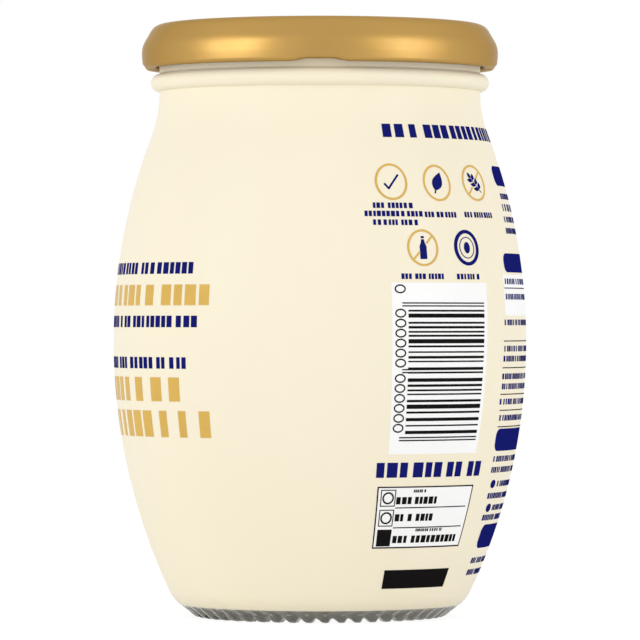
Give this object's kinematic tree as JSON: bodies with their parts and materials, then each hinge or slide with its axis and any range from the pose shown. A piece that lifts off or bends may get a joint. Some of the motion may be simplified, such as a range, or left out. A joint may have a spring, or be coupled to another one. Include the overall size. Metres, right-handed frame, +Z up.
{
  "type": "mayonnaise jar",
  "caption": "Round-bellied glass jar of mayonnaise with a full printed shrink sleeve and a gold twist-off metal lid, standing on a knurled ring.",
  "frame": {"origin": "centre of the standing ring, on the surface the jar stands on", "axes": "+Z up the jar's axis; -Y towards the printed side shown, with one lug of the lid facing -Y"},
  "size_m": [0.088, 0.088, 0.126],
  "materials": {
    "clear_glass": "clear flint glass, smooth, with a faint grey-green edge",
    "mayonnaise": null,
    "printed_film": "cream shrink film with a soft gloss and print in navy, gold, white and black",
    "gold_lacquer": "tinplate under gold lacquer, satin gloss"
  },
  "bodies": {
    "root": {"jar": "clear_glass", "mayonnaise": "mayonnaise", "sleeve": "printed_film", "lid": "gold_lacquer"}
  },
  "joints": []
}
